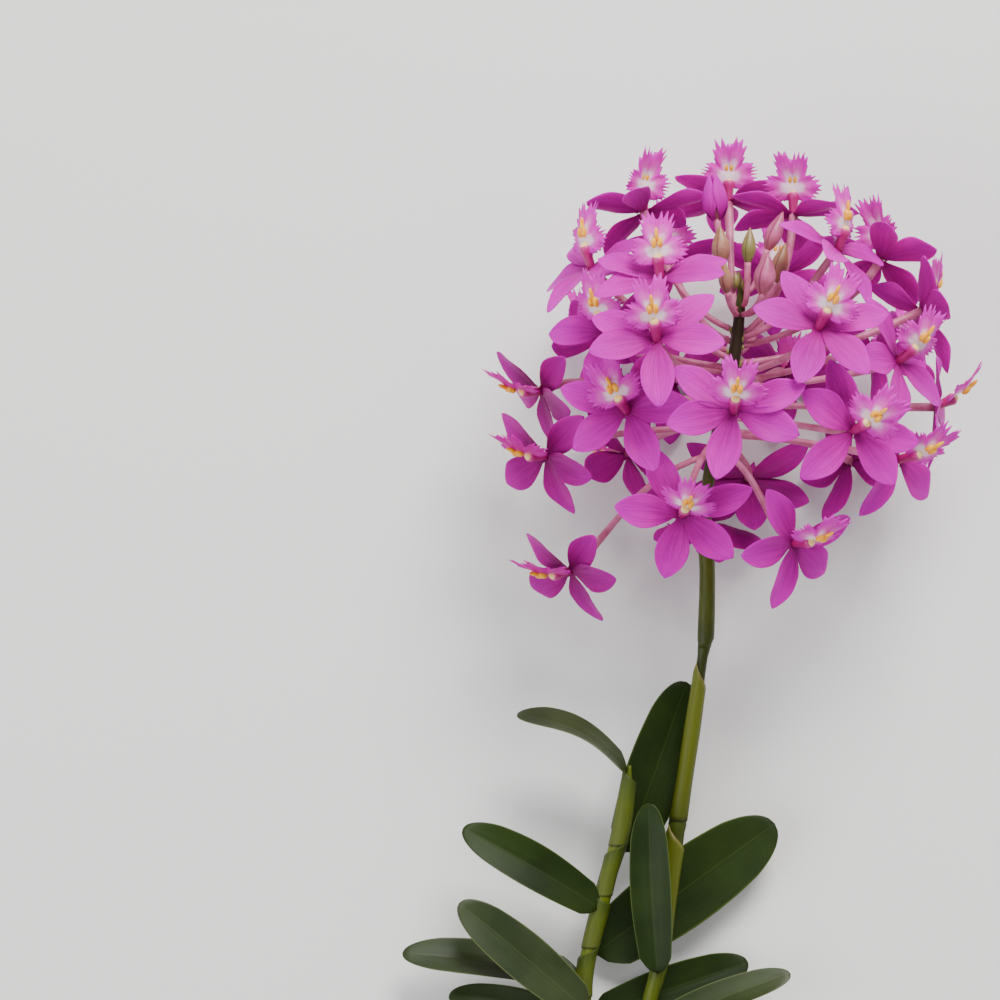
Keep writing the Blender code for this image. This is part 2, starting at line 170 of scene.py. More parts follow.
# middle of each flower, then where it faces (yaw, pitch) and its roll, in degrees
BLOOMS = (
    # the front of the head
    (-4, -15.5, 46, -4, 6, -8),
    (-24.5, 4, 40, -8, 22, 6),
    (-23, 21, 27, -14, 46, 4),
    (-32, -15, 27, -18, 10, 22),
    (19, 7, 40, 10, 26, -30),
    (29, -20.5, 34, 14, 2, -44),
    (-17, -43, 27, -4, -10, -22),
    # its left side
    (-37, 7.5, 12, -40, 22, -4),
    (-55, -8.5, -5, -64, -26, -10),
    (-54, -27, 10, -50, -24, 0),
    (-47, -59, 3, -54, -34, 0),
    (-41, 26, 0, -56, 44, 0),
    (-26, 42, -8, -146, 58, 8),
    # its right side
    (43, -1, 15, 52, 14, -24),
    (52, 14, -7, 112, 24, -14),
    (56, -13, -8, 84, 0, 0),
    (43.5, -28, 13, 48, -10, -24),
    (14, -51, 20, 40, -20, -10),
    (27, 30, 10, 56, 44, 0),
    (41, 29, -12, 146, 48, -20),
    # the top
    (-1, 46, -24, 180, 62, 0),
    (16, 41, -6, 166, 66, 0),
    (-17.5, 29, -32, -160, 48, 0),
    (13.5, 25, -36, 168, 34, 0),
    # the back, on which the head lies
    (5, -33, -28, 176, -30, 0),
    (-37.5, 7, -33, -134, 14, 0),
    (-16, -4, -40, -168, -4, 0),
    (16, -2, -42, 164, -6, 0),
    (41, 4, -28, 120, 6, 0),
    (34, -28, -26, 128, -22, 0),
    (-30, -26, -28, -134, -26, 0),
    (-8, -46, -24, -160, -46, 0),
)
# the blooms that stand in shade, low on the left and at the back, take darker copies of the tepal and lip
# skins: painted shade
SHADED_BLOOMS = (9, 10, 11, 25, 27, 28, 30, 31, 32)

# the cane that carries them: points of its middle line, and its radius there
CANE = (
    (-31.0, -209.0, 0.0, 2.35),
    (-27.6, -193.0, 0.0, 2.25),
    (-24.6, -179.0, 0.0, 2.2),
    (-22.2, -170.0, 0.0, 2.45),
    (-19.6, -151.0, 0.0, 2.25),
    (-17.2, -132.0, 0.0, 2.45),
    (-15.0, -118.0, 0.0, 2.1),
    (-12.6, -102.0, 0.0, 2.1),
    (-10.6, -88.0, 0.0, 1.65),
    (-9.4, -80.0, 0.0, 1.65),
    (-9.0, -77.0, 0.0, 2.15),
    (-8.6, -60.0, 0.0, 1.95),
    (-9.0, -40.0, 0.0, 1.9),
    (-5.6, -20.0, 0.0, 1.9),
    (-1.2, 0.0, 0.0, 1.9),
    (0.6, 14.0, 0.0, 1.6),
    (1.0, 21.0, 0.0, 1.0),
)

# how far above the table every point stays
LEAST_HEIGHT = 0.1


def ball(name, segments, rings):
    """A unit sphere to be drawn out into a form, with the points' places on it as rows of numbers."""
    bpy.ops.object.select_all(action="DESELECT")
    bpy.ops.mesh.primitive_uv_sphere_add(segments=segments, ring_count=rings, radius=1.0)
    obj = bpy.context.object
    obj.name = name
    bpy.ops.object.shade_smooth()
    points = np.empty(len(obj.data.vertices) * 3)
    obj.data.vertices.foreach_get("co", points)
    return obj, points.reshape(-1, 3)


def along_and_around(points):
    """How far up a unit sphere each point lies, 0 to 1 from pole to pole, and its angle round it."""
    along = np.arccos(np.clip(-points[:, 2], -1, 1)) / math.pi
    return along, np.arctan2(points[:, 1], points[:, 0])


def reshape(obj, points):
    obj.data.vertices.foreach_set("co", np.ascontiguousarray(points).ravel())
    obj.data.update()


def mark(obj, across, along):
    """Keeps how far across and along the form each point lies, as the piece's UV map."""
    corners = np.empty(len(obj.data.loops), dtype=int)
    obj.data.loops.foreach_get("vertex_index", corners)
    values = np.stack([np.asarray(across)[corners], np.asarray(along)[corners]], axis=1)
    obj.data.uv_layers.active.data.foreach_set("uv", values.ravel())


def to_plant(local, middle, turn):
    return np.asarray(local) @ np.array(turn).T + np.array(middle)


def laid(points, least=LEAST_HEIGHT):
    """Points of the plant's frame in metres, as the plant lies, at least so many millimetres up."""
    points = np.asarray(points)
    world = points @ np.array(plant.to_3x3()).T + np.array(plant.translation)
    world[:, 2] = np.maximum(world[:, 2], np.asarray(least) * MM)
    return world


def clearance(over, thickness, normal):
    """The least height of a blade's points: where the table presses it flat, it keeps its thickness."""
    upward = (plant.to_3x3() @ Vector(normal)).z
    return LEAST_HEIGHT + thickness * (over * math.copysign(1.0, upward) > 0)


def bloom_frame(bloom):
    """The bloom's own directions as columns: right, towards its lip, and forward."""
    yaw, pitch, roll = (math.radians(a) for a in bloom[3:])
    forward = Vector(
        (math.sin(yaw) * math.cos(pitch), math.sin(pitch), math.cos(yaw) * math.cos(pitch))
    )
    up_stem = Vector((0, 1, 0))
    lipward = (up_stem - forward * up_stem.dot(forward)).normalized()
    lipward = Matrix.Rotation(roll, 3, forward) @ lipward
    return Matrix((lipward.cross(forward), lipward, forward)).transposed()


tepal_form, tepal_points = ball("tepal_form", 20, 24)
tepal_t, tepal_around = along_and_around(tepal_points)
tepal_share = np.sin(math.pi * np.clip(tepal_t, 0, 1) ** 1.14) ** 0.74
tepal_share = np.maximum(tepal_share, 0.30 * (1 - tepal_t) * (tepal_t > 0.001))
tepal_side = np.cos(tepal_around)
tepal_over = np.sin(tepal_around)
mark(tepal_form, tepal_side * 0.5 + 0.5, tepal_t)

lip_form, lip_points = ball("lip_form", 216, 12)
lip_angle = np.arctan2(lip_points[:, 0], lip_points[:, 1])
lip_reach = np.arccos(np.clip(np.abs(lip_points[:, 2]), 0, 1)) / (math.pi / 2)
lip_over = np.sign(lip_points[:, 2]) * (1 - lip_reach**4)
lip_degrees = np.degrees(np.abs(lip_angle))
lip_radius = np.interp(lip_degrees, *np.array(LIP_HALF).T)
mark(lip_form, lip_angle / math.tau + 0.5, lip_reach)

column_form, column_points = ball("column_form", 14, 14)
column_t, column_around = along_and_around(column_points)
mark(column_form, column_around / math.tau + 0.5, column_t)

knob_form, knob_points = ball("knob_form", 12, 8)


def copy_of(form, name, material):
    obj = form.copy()
    obj.data = form.data.copy()
    obj.name = name
    obj.data.materials.clear()
    obj.data.materials.append(material)
    bpy.context.scene.collection.objects.link(obj)
    return obj


def add_tepal(bloom, turn, number, draw, material):
    """A tepal: a claw that widens to a blade, grooved down its middle and bent back at its tip."""
    angle, long, wide, lift = TEPALS[number]
    length, width = TEPAL_LENGTH * long, TEPAL_WIDTH * wide
    sway = math.radians(TEPAL_SWAY * math.sin(2.3 * number + 1.7 * bloom[0] + 0.9 * bloom[1]))
    lift += TEPAL_SWAY * math.sin(1.9 * number + bloom[1] + bloom[5])
    rise = math.tan(math.radians(lift))
    heading = math.radians(angle) + sway
    t, side = tepal_t, tepal_side * tepal_share
    along = TEPAL_FOOT + t * (length - TEPAL_FOOT)
    wave = TEPAL_WAVE * np.sin(8.0 * t + draw.uniform(0, 6)) * side * np.abs(side)
    groove = -TEPAL_GROOVE * np.exp(-((side / 0.13) ** 2)) * np.sin(math.pi * t)
    veins = TEPAL_VEINS * np.cos(side * 34.0) * tepal_share
    up = rise * along - TEPAL_DROOP * t * t + TEPAL_CUP * side * side + wave + groove + veins
    up = up + tepal_over * TEPAL_THICKNESS / 2 * np.minimum(1.0, 3.0 * tepal_share)
    across = side * width / 2
    local = np.stack(
        [
            along * math.cos(heading) - across * math.sin(heading),
            along * math.sin(heading) + across * math.cos(heading),
            up,
        ],
        axis=1,
    )
    obj = copy_of(tepal_form, "tepal", material)
    least = clearance(tepal_over, TEPAL_THICKNESS, turn.col[2])
    reshape(obj, laid(to_plant(local, bloom[:3], turn), least))
    return obj


def add_lip(bloom, turn, draw, material):
    """The lip's blade, bent to its callus in the middle and cut into a fringe along its lobes."""
    phase = lip_degrees * TEETH_PER_DEGREE + 0.35 * np.sin(3 * lip_angle + draw.uniform(0, 6))
    teeth = np.abs((phase % 1.0) * 2 - 1)
    depth = np.interp(lip_degrees, *np.array(FRINGE).T)
    depth = depth * (0.85 + 0.3 * np.sin(7 * lip_angle + draw.uniform(0, 6)))
    edge = np.clip((lip_reach - 0.5) / 0.5, 0, 1) ** 1.4
    radius = lip_radius * lip_reach * (FRINGE_REACH - depth * teeth**0.8 * edge)
    u, v = radius * np.sin(lip_angle), radius * np.cos(lip_angle)
    middle = np.exp(-(u**2 + (v - CALLUS_PLACE) ** 2) / CALLUS_SPREAD)
    ruffle = LIP_RUFFLE * np.sin(lip_angle * 11 + draw.uniform(0, 6))
    ruffle = ruffle * lip_reach**3 * (lip_degrees < 125)
    bend = LIP_SIDE_BEND * u * u
    up = CALLUS_HEIGHT * middle - bend - LIP_END_BEND * v * np.abs(v) + ruffle
    up = up + lip_over * LIP_THICKNESS / 2
    sine, cosine = math.sin(LIP_TILT), math.cos(LIP_TILT)
    local = np.stack([u, v * sine - up * cosine, v * cosine + up * sine], axis=1)
    obj = copy_of(lip_form, "lip", material)
    least = clearance(lip_over, LIP_THICKNESS, turn @ Vector((0, -cosine, sine)))
    reshape(obj, laid(to_plant(local + np.array(LIP_BASE), bloom[:3], turn), least))
    return obj


def add_column(bloom, turn, material):
    share, radius = np.array(COLUMN_PROFILE).T
    along = np.interp(column_t, np.linspace(0, 1, len(share)), share)
    around = np.interp(column_t, np.linspace(0, 1, len(radius)), radius)
    length = COLUMN_LENGTH + COLUMN_SINK
    axis_turn = Vector((0, math.sin(COLUMN_TILT), math.cos(COLUMN_TILT))).to_track_quat("Z", "Y")
    local = np.stack(
        [
            around * np.cos(column_around),
            around * np.sin(column_around),
            along * length - COLUMN_SINK,
        ],
        axis=1,
    )
    local = local @ np.array(axis_turn.to_matrix()).T
    obj = copy_of(column_form, "column", material)
    reshape(obj, laid(to_plant(local, bloom[:3], turn)))
    return obj


def add_knob(bloom, turn, place, size, tilt, material):
    local = knob_points * np.array(size)
    local = local @ np.array(Matrix.Rotation(tilt, 3, "X")).T + np.array(place)
    obj = copy_of(knob_form, "knob", material)
    reshape(obj, laid(to_plant(local, bloom[:3], turn)))
    return obj


def lip_place(u, v, up):
    """A place over the lip's blade, in the bloom's own directions."""
    sine, cosine = math.sin(LIP_TILT), math.cos(LIP_TILT)
    return LIP_BASE + Vector((u, v * sine - up * cosine, v * cosine + up * sine))


def bezier(a, b, c, d, count):
    steps = [i / (count - 1) for i in range(count)]
    return [
        a * (1 - t) ** 3 + b * 3 * t * (1 - t) ** 2 + c * 3 * t * t * (1 - t) + d * t**3
        for t in steps
    ]


def stalk(name, points, radii, material, resolution=3):
    """A round stalk along the points of the plant's frame, as a mesh in metres."""
    curve = bpy.data.curves.new(name, "CURVE")
    curve.dimensions = "3D"
    curve.bevel_depth = MM
    curve.bevel_resolution = resolution
    curve.use_fill_caps = True
    spline = curve.splines.new("POLY")
    spline.points.add(len(points) - 1)
    for knot, point, radius in zip(spline.points, laid(points), radii):
        knot.co = (*point, 1.0)
        knot.radius = radius
    obj = bpy.data.objects.new(name, curve)
    bpy.context.scene.collection.objects.link(obj)
    bpy.ops.object.select_all(action="DESELECT")
    obj.select_set(True)
    bpy.context.view_layer.objects.active = obj
    bpy.ops.object.convert(target="MESH")
    obj = bpy.context.object
    bpy.ops.object.mode_set(mode="EDIT")
    bpy.ops.mesh.select_all(action="SELECT")
    bpy.ops.mesh.remove_doubles(threshold=1e-6)
    bpy.ops.mesh.normals_make_consistent(inside=False)
    bpy.ops.object.mode_set(mode="OBJECT")
    bpy.ops.object.shade_smooth()
    obj.data.materials.clear()
    obj.data.materials.append(material)
    return obj


def cane_at(y):
    """Middle and radius of the cane at this height."""
    rows = np.array(CANE)
    x, z, radius = (np.interp(y, rows[:, 1], rows[:, k]) for k in (0, 2, 3))
    return Vector((x, y, z)), radius


def pedicel_root(rank):
    """Middle and radius of the cane where a pedicel leaves it, ranked from the lowest bloom up."""
    return cane_at(LOWEST_PEDICEL + (HIGHEST_PEDICEL - LOWEST_PEDICEL) * rank / (len(BLOOMS) - 1))


def add_pedicel(bloom, turn, rank, material):
    middle, forward = Vector(bloom[:3]), turn.col[2]
    axis, radius = pedicel_root(rank)
    way = middle - axis
    outward = Vector((way.x, way.y * 0.35, way.z)).normalized()
    start = axis + Vector((way.x, 0, way.z)).normalized() * (radius + PEDICEL_SEAT)
    reach = (middle - start).length
    out_of_cane = start + outward * reach * 0.4
    behind_flower = middle - forward * reach * 0.33
    points = bezier(start, out_of_cane, behind_flower, middle, PEDICEL_POINTS)
    radii = np.interp(np.linspace(0, 1, PEDICEL_POINTS), *np.array(PEDICEL_PROFILE).T)
    return stalk("pedicel", points, radii, material)


def joined(name, pieces):
    bpy.ops.object.select_all(action="DESELECT")
    for piece in pieces:
        piece.select_set(True)
    bpy.context.view_layer.objects.active = pieces[0]
    bpy.ops.object.join()
    pieces[0].name = name
    return pieces[0]


# What the skins below share: a new material, short ways to add and link nodes, and the few patterns
# and finishes that plant skin has.
def new_material(name):
    material = bpy.data.materials.new(name)
    material.use_nodes = True
    tree = material.node_tree
    return material, tree, tree.nodes["Principled BSDF"]


def node(tree, kind, links=None, **settings):
    made = tree.nodes.new(kind)
    for key, value in settings.items():
        setattr(made, key, value)
    for socket, value in (links or {}).items():
        if isinstance(value, bpy.types.NodeSocket):
            tree.links.new(value, made.inputs[socket])
        else:
            made.inputs[socket].default_value = value
    return made


def ramp(tree, factor, stops):
    made = tree.nodes.new("ShaderNodeValToRGB")
    while len(made.color_ramp.elements) < len(stops):
        made.color_ramp.elements.new(0.5)
    for element, (place, colour) in zip(made.color_ramp.elements, stops):
        element.position = place
        element.color = (*colour, 1.0)
    tree.links.new(factor, made.inputs["Fac"])
    return made.outputs["Color"]


def mixed(tree, factor, one, two, blend="MIX"):
    made = node(tree, "ShaderNodeMix", data_type="RGBA", blend_type=blend)
    for socket, value in ((0, factor), (6, one), (7, two)):
        if isinstance(value, bpy.types.NodeSocket):
            tree.links.new(value, made.inputs[socket])
        elif socket == 0:
            made.inputs[socket].default_value = value
        else:
            made.inputs[socket].default_value = (*value, 1.0)
    return made.outputs[2]


def own_map(tree):
    """The piece's own map: X runs across or round the form, Y along it."""
    return node(tree, "ShaderNodeUVMap").outputs["UV"]


def own_place(tree):
    return node(tree, "ShaderNodeTexCoord").outputs["Object"]


def part_of(tree, vector, axis):
    return node(tree, "ShaderNodeSeparateXYZ", {"Vector": vector}).outputs[axis]


def clouds_of(tree, scale, detail=2.0):
    """Cloudy noise fixed to the object."""
    grain = {"Vector": own_place(tree), "Scale": scale, "Detail": detail}
    return node(tree, "ShaderNodeTexNoise", grain).outputs["Fac"]


def streaks_of(tree, vector, fineness, scale=1.0, detail=3.0):
    """Noise drawn out into streaks, by how fine it is in each direction."""
    drawn = node(tree, "ShaderNodeMapping", {"Vector": vector, "Scale": fineness}).outputs["Vector"]
    grain = {"Vector": drawn, "Scale": scale, "Detail": detail}
    return node(tree, "ShaderNodeTexNoise", grain).outputs["Fac"]


def shaded(tree, skin, share, pattern, shade, low=0.35, high=0.65):
    """A skin that the shade darkens where the pattern is low."""
    shades = ramp(tree, pattern, ((low, shade), (high, (1.0, 1.0, 1.0))))
    return mixed(tree, share, skin, shades, "MULTIPLY")


def finished(tree, shader, skin, roughness, gloss=0.5, flesh=0.0, glow=(1.0, 0.2, 0.1), depth=0.001):
    """Puts the skin on the shader, with how rough and glossy it is and how light glows through it."""
    tree.links.new(skin, shader.inputs["Base Color"])
    shader.inputs["Roughness"].default_value = roughness
    shader.inputs["Specular IOR Level"].default_value = gloss
    shader.inputs["Subsurface Weight"].default_value = flesh
    shader.inputs["Subsurface Radius"].default_value = glow
    shader.inputs["Subsurface Scale"].default_value = depth


def bumped(tree, shader, height, strength):
    relief = {"Height": height, "Strength": strength, "Distance": 0.0002}
    tree.links.new(node(tree, "ShaderNodeBump", relief).outputs["Normal"], shader.inputs["Normal"])


# Tepal skin: clear magenta, deeper towards the claw, with fine darker veins that run its length.
def tepal_paint(name, claw, middle, blade, tip):
    material, tree, shader = new_material(name)
    uv = own_map(tree)
    stops = ((0.0, claw), (0.25, middle), (0.6, blade), (1.0, tip))
    skin = ramp(tree, part_of(tree, uv, "Y"), stops)
    veins = streaks_of(tree, uv, (26.0, 1.4, 1.0), detail=2.0)
    skin = shaded(tree, skin, 0.7, veins, (0.62, 0.55, 0.66), 0.36, 0.62)
    skin = shaded(tree, skin, 0.8, clouds_of(tree, 60.0), (0.74, 0.62, 0.80))
    finished(tree, shader, skin, 0.46, gloss=0.06, flesh=0.5, glow=(1.0, 0.1, 0.8))
    bumped(tree, shader, veins, 0.35)
    return material


tepal_bright = tepal_paint(
    "tepal_bright", (0.26, 0.0, 0.13), (0.54, 0.0, 0.36), (0.66, 0.0, 0.48), (0.72, 0.0, 0.57)
)
# a darker copy of the tepal skin for the blooms in shade: painted shade
tepal_painted_shade = tepal_paint(
    "tepal_painted_shade", (0.17, 0.0, 0.08), (0.32, 0.0, 0.19), (0.42, 0.0, 0.27), (0.52, 0.0, 0.37)
)


# Lip skin: cream white round the callus, washed with pink to a purple-pink fringe.
def lip_paint(name, stops):
    material, tree, shader = new_material(name)
    uv = own_map(tree)
    blotched = {0: clouds_of(tree, 420.0), 1: 0.22, 2: part_of(tree, uv, "Y")}
    reach = node(tree, "ShaderNodeMath", blotched, operation="MULTIPLY_ADD").outputs[0]
    veins = streaks_of(tree, uv, (90.0, 1.2, 1.0), detail=2.0)
    skin = shaded(tree, ramp(tree, reach, stops), 0.6, veins, (0.84, 0.66, 0.84), 0.38, 0.60)
    finished(
        tree, shader, skin, 0.5, gloss=0.1, flesh=0.25, glow=(1.0, 0.35, 0.7), depth=0.0012
    )
    bumped(tree, shader, veins, 0.3)
    return material


lip_bright = lip_paint(
    "lip_bright",
    (
        (0.0, (0.96, 0.88, 0.74)),
        (0.40, (0.93, 0.70, 0.82)),
        (0.56, (0.78, 0.13, 0.58)),
        (0.80, (0.68, 0.01, 0.50)),
    ),
)
# a darker copy of the lip skin for the blooms in shade: painted shade
lip_painted_shade = lip_paint(
    "lip_painted_shade",
    (
        (0.0, (0.90, 0.62, 0.62)),
        (0.28, (0.72, 0.16, 0.42)),
        (0.46, (0.52, 0.01, 0.27)),
        (0.8, (0.50, 0.0, 0.32)),
    ),
)

# Column flesh: crimson at the foot, paler and pinker at the mouth.
column_skin, tree, shader = new_material("column_skin")
crimson = ramp(
    tree,
    part_of(tree, own_map(tree), "Y"),
    (
        (0.0, (0.30, 0.0, 0.10)),
        (0.55, (0.46, 0.004, 0.18)),
        (0.8, (0.54, 0.015, 0.25)),
        (0.95, (0.74, 0.20, 0.28)),
    ),
)
finished(tree, shader, crimson, 0.38, flesh=0.2, depth=0.0012)


# Callus and anther cap: waxy orange yellow ridges on the lip, and a paler cap on the column.
def wax_paint(name, fineness, dark, light, roughness, flesh):
    material, tree, shader = new_material(name)
    wax = ramp(tree, clouds_of(tree, fineness), ((0.35, dark), (0.7, light)))
    finished(tree, shader, wax, roughness, flesh=flesh)
    return material


callus_skin = wax_paint("callus_skin", 900.0, (0.92, 0.30, 0.0), (1.0, 0.58, 0.02), 0.35, 0.2)
cap_skin = wax_paint("cap_skin", 700.0, (0.90, 0.52, 0.16), (0.98, 0.74, 0.34), 0.4, 0.0)

# Pedicel skin: dusty rose, with fine darker blotches.
pedicel_skin, tree, shader = new_material("pedicel_skin")
blotches = clouds_of(tree, 300.0, 3.0)
rose = ramp(tree, blotches, ((0.3, (0.44, 0.08, 0.18)), (0.7, (0.64, 0.17, 0.34))))
finished(tree, shader, rose, 0.45)
bumped(tree, shader, blotches, 0.15)

from_below = sorted(range(len(BLOOMS)), key=lambda i: BLOOMS[i][1])
cap_axis = Vector((0, math.sin(COLUMN_TILT), math.cos(COLUMN_TILT)))
cap_place = cap_axis * (COLUMN_LENGTH - CAP_SINK)
for number, bloom in enumerate(BLOOMS):
    draw = random.Random(40 + number)
    turn = bloom_frame(bloom)
    tepal_skin, lip_skin = tepal_bright, lip_bright
    # the blooms in shade take the darker copies of the skins: painted shade
    if number + 1 in SHADED_BLOOMS:
        tepal_skin, lip_skin = tepal_painted_shade, lip_painted_shade
    pieces = [add_pedicel(bloom, turn, from_below.index(number), pedicel_skin)]
    pieces += [add_tepal(bloom, turn, k, draw, tepal_skin) for k in range(len(TEPALS))]
    pieces.append(add_column(bloom, turn, column_skin))
    pieces.append(add_lip(bloom, turn, draw, lip_skin))
    pieces.append(add_knob(bloom, turn, cap_place, CAP_SIZE, -COLUMN_TILT, cap_skin))
    for u, v, size in RIDGES:
        place = lip_place(u, v, RIDGE_HEIGHT)
        pieces.append(add_knob(bloom, turn, place, size, math.pi / 2 - LIP_TILT, callus_skin))
    flower = joined(f"orchid_bloom_{number + 1:02d}", pieces)
    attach(flower, "root")
    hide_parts(f"bloom_{number + 1:02d}")


# The buds: closed flowers on short stalks round the stem's tip, firm and fleshy, whose three outer
# tepals meet in dark seams. Each is a sphere drawn out to a point. The last has begun to open: its
# tepals are copies of the blooms', curved round it.
BUD_GIRTH = 0.57  # radius at the foot, as a share of the bud's width
BUD_NARROWING = 0.35  # share by which it is narrower at its tip
FURROW_DEPTH = 0.07  # depth of the seams, as a share of the radius
FURROW_WIDTH = 0.05
BUD_STALK_LENGTH = 11.0
LOWEST_BUD_STALK = 12.5  # the stretch of the cane from which the bud stalks rise
HIGHEST_BUD_STALK = 19.0
BUD_STALK_SEAT = 0.45
BUD_STALK_POINTS = 12
BUD_STALK_RADII = (0.75, 1.0)
INNER_BUD = 0.8  # size of the bud left inside the opening tepals, as a share
# foot, tip and width of each bud
BUDS = (
    ((-5.0, 25.0, 8.0), (-5.6, 37.0, 9.0), 5.4),
    ((2.4, 26.0, 4.0), (3.2, 37.0, 3.5), 4.2),
    ((-3.6, 17.5, 11.5), (-5.0, 26.5, 15.0), 4.2),
    ((5.8, 17.0, 12.0), (7.4, 29.0, 14.5), 6.4),
    ((9.8, 20.5, 4.5), (13.0, 32.5, 4.5), 5.0),
    ((8.0, 30.0, -2.5), (13.0, 42.0, -3.5), 5.0),
    ((-5.6, 38.5, -1.0), (-7.2, 52.0, -1.5), 6.2),
)

bud_form, bud_points = ball("bud_form", 36, 24)
bud_t, bud_around = along_and_around(bud_points)
mark(bud_form, bud_around / math.tau + 0.5, bud_t)


def bud_paint(name, foot, body, tip, seam):
    material, tree, shader = new_material(name)
    uv = own_map(tree)
    mottle = clouds_of(tree, 380.0, 4.0)
    skin = ramp(tree, part_of(tree, uv, "Y"), ((0.05, foot), (0.5, body), (0.95, tip)))
    skin = shaded(tree, skin, 0.8, mottle, (0.66, 0.62, 0.6))
    around = {0: part_of(tree, uv, "X"), 1: 3.0}
    thirds = node(tree, "ShaderNodeMath", around, operation="MULTIPLY").outputs[0]
    edge = node(tree, "ShaderNodeMath", {0: thirds, 1: 0.5}, operation="PINGPONG").outputs[0]
    line = ramp(tree, edge, ((0.01, (1.0, 1.0, 1.0)), (0.06, (0.0, 0.0, 0.0))))
    finished(tree, shader, mixed(tree, line, skin, seam), 0.42, flesh=0.15)
    bumped(tree, shader, mottle, 0.2)
    return material


bud_tan = bud_paint(
    "bud_tan", (0.30, 0.14, 0.08), (0.46, 0.20, 0.15), (0.40, 0.22, 0.08), (0.16, 0.05, 0.04)
)
bud_pink = bud_paint(
    "bud_pink", (0.46, 0.12, 0.16), (0.60, 0.13, 0.30), (0.52, 0.10, 0.24), (0.24, 0.02, 0.09)
)
bud_green = bud_paint(
    "bud_green", (0.20, 0.20, 0.05), (0.30, 0.27, 0.08), (0.34, 0.20, 0.10), (0.10, 0.09, 0.03)
)


def add_bud(foot, tip, width, material):
    axis = tip - foot
    seam = ((bud_around / math.tau + 0.5) * 3 + 0.5) % 1.0 - 0.5
    furrow = np.exp(-((seam / FURROW_WIDTH) ** 2))
    radius = width * BUD_GIRTH * (1 - BUD_NARROWING * bud_t) * np.sin(math.pi * bud_t) ** 0.9
    radius = radius * (1 - FURROW_DEPTH * furrow)
    local = np.stack(
        [radius * np.cos(bud_around), radius * np.sin(bud_around), bud_t * axis.length], axis=1
    )
    obj = copy_of(bud_form, "bud", material)
    reshape(obj, laid(to_plant(local, foot, axis.to_track_quat("Z", "Y").to_matrix())))
    return obj


def add_opening(foot, tip, width, number, material):
    """One of the tepals of the half-open bud, curved round it, with its tip standing a little off."""
    axis = tip - foot
    heading = math.tau * number / len(TEPALS) + 0.9
    share = np.sin(math.pi * np.clip(tepal_t, 0, 1) ** 1.1) ** 0.8
    around = heading + 0.8 * tepal_side * share
    radius = width * 0.5 * np.sin(math.pi * tepal_t**0.8) + (0.5 + 0.5 * (number % 2)) * tepal_t**3
    radius = radius + 0.3 + 0.25 * tepal_over * np.minimum(1.0, 3.0 * share)
    along = tepal_t * axis.length * (1.0 + 0.06 * (number % 2))
    local = np.stack([radius * np.cos(around), radius * np.sin(around), along], axis=1)
    obj = copy_of(tepal_form, "tepal", material)
    reshape(obj, laid(to_plant(local, foot, axis.to_track_quat("Z", "Y").to_matrix())))
    return obj


def add_bud_stalk(foot, tip, material):
    axis = (tip - foot).normalized()
    root = min(max(foot.y - BUD_STALK_LENGTH, LOWEST_BUD_STALK), HIGHEST_BUD_STALK)
    middle, radius = cane_at(root)
    outward = Vector((foot.x - middle.x, 0.5, foot.z - middle.z)).normalized()
    start = middle + outward * (radius + BUD_STALK_SEAT)
    points = bezier(start, start + outward * 3.0, foot - axis * 3.0, foot + axis, BUD_STALK_POINTS)
    radii = np.interp(np.linspace(0, 1, BUD_STALK_POINTS), (0, 1), BUD_STALK_RADII)
    return stalk("stalk", points, radii, material)


bud_skins = (bud_tan, bud_green, bud_tan, bud_pink, bud_tan, bud_pink, bud_pink)
for number, ((foot, tip, width), skin) in enumerate(zip(BUDS, bud_skins)):
    foot, tip = Vector(foot), Vector(tip)
    pieces = [add_bud_stalk(foot, tip, pedicel_skin)]
    if number < len(BUDS) - 1:
        pieces.append(add_bud(foot, tip, width, skin))
    else:
        pieces.append(add_bud(foot, foot + (tip - foot) * INNER_BUD, width * INNER_BUD, skin))
        pieces += [add_opening(foot, tip, width, k, tepal_bright) for k in range(len(TEPALS))]
    bud = joined(f"orchid_bud_{number + 1}", pieces)
    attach(bud, "root")
    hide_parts(f"bud_{number + 1}")


# The flowering cane: one smooth green stem, cut through at its lower end, that carries the head. Thin
# sheaths clasp it above its joints, and its dark upper end bears a small bract under each pedicel and
# the youngest buds at its tip. The stem is a round stalk and each sheath a grid rolled round it.
CANE_JOINTS = (-169.5, -129.5, -81.0)
JOINT_SWELLING = 0.28
JOINT_LENGTH = 1.3
CANE_INSET = 0.12  # how far the stem lies under its outline, as room for the sheaths
SPAN_POINTS = 8  # points from one row of a stem to the next
SHEATH_WRAP = 1.05  # how far round the stem a sheath goes, as a share of a full turn
SHEATH_LAP = 0.08  # how far its overlapping edge stands off
SHEATH_FLARE = 0.18  # how far its rim stands off
SHEATH_WALL = 0.25
BRACT_DROP = 1.6  # how far below the pedicel a bract starts
BRACT_SINK = 0.3  # how deep in the stem
BRACT_LEAN = 1.3  # how far its tip leans out
BRACT_WIDTH = 1.3
# foot, tip and width of the youngest buds
YOUNGEST = (
    ((-0.6, 19.5, 1.6), (-0.84, 24.7, 2.08), 2.4),
    ((2.2, 20.0, 0.6), (3.08, 24.6, 0.78), 2.2),
    ((0.2, 20.5, -1.2), (0.28, 25.3, -1.56), 2.2),
    ((1.4, 19.0, 2.2), (1.96, 23.2, 2.86), 2.0),
)
# where the stem's colours begin and end, in metres along the laid plant
STEM_FROM = -0.135
STEM_TO = 0.09


def smoothed(rows, count):
    """Rows of x, y, z and radius along a smooth curve through the rows given."""
    rows = np.array(rows)
    ends = np.vstack([2 * rows[0] - rows[1], rows, 2 * rows[-1] - rows[-2]])
    t = np.linspace(0, 1, count, endpoint=False)[:, None]
    spans = [
        b + 0.5 * t * (c - a + t * (2 * a - 5 * b + 4 * c - d + t * (3 * (b - c) + d - a)))
        for a, b, c, d in zip(ends, ends[1:], ends[2:], ends[3:])
    ]
    return np.vstack([*spans, rows[-1:]])


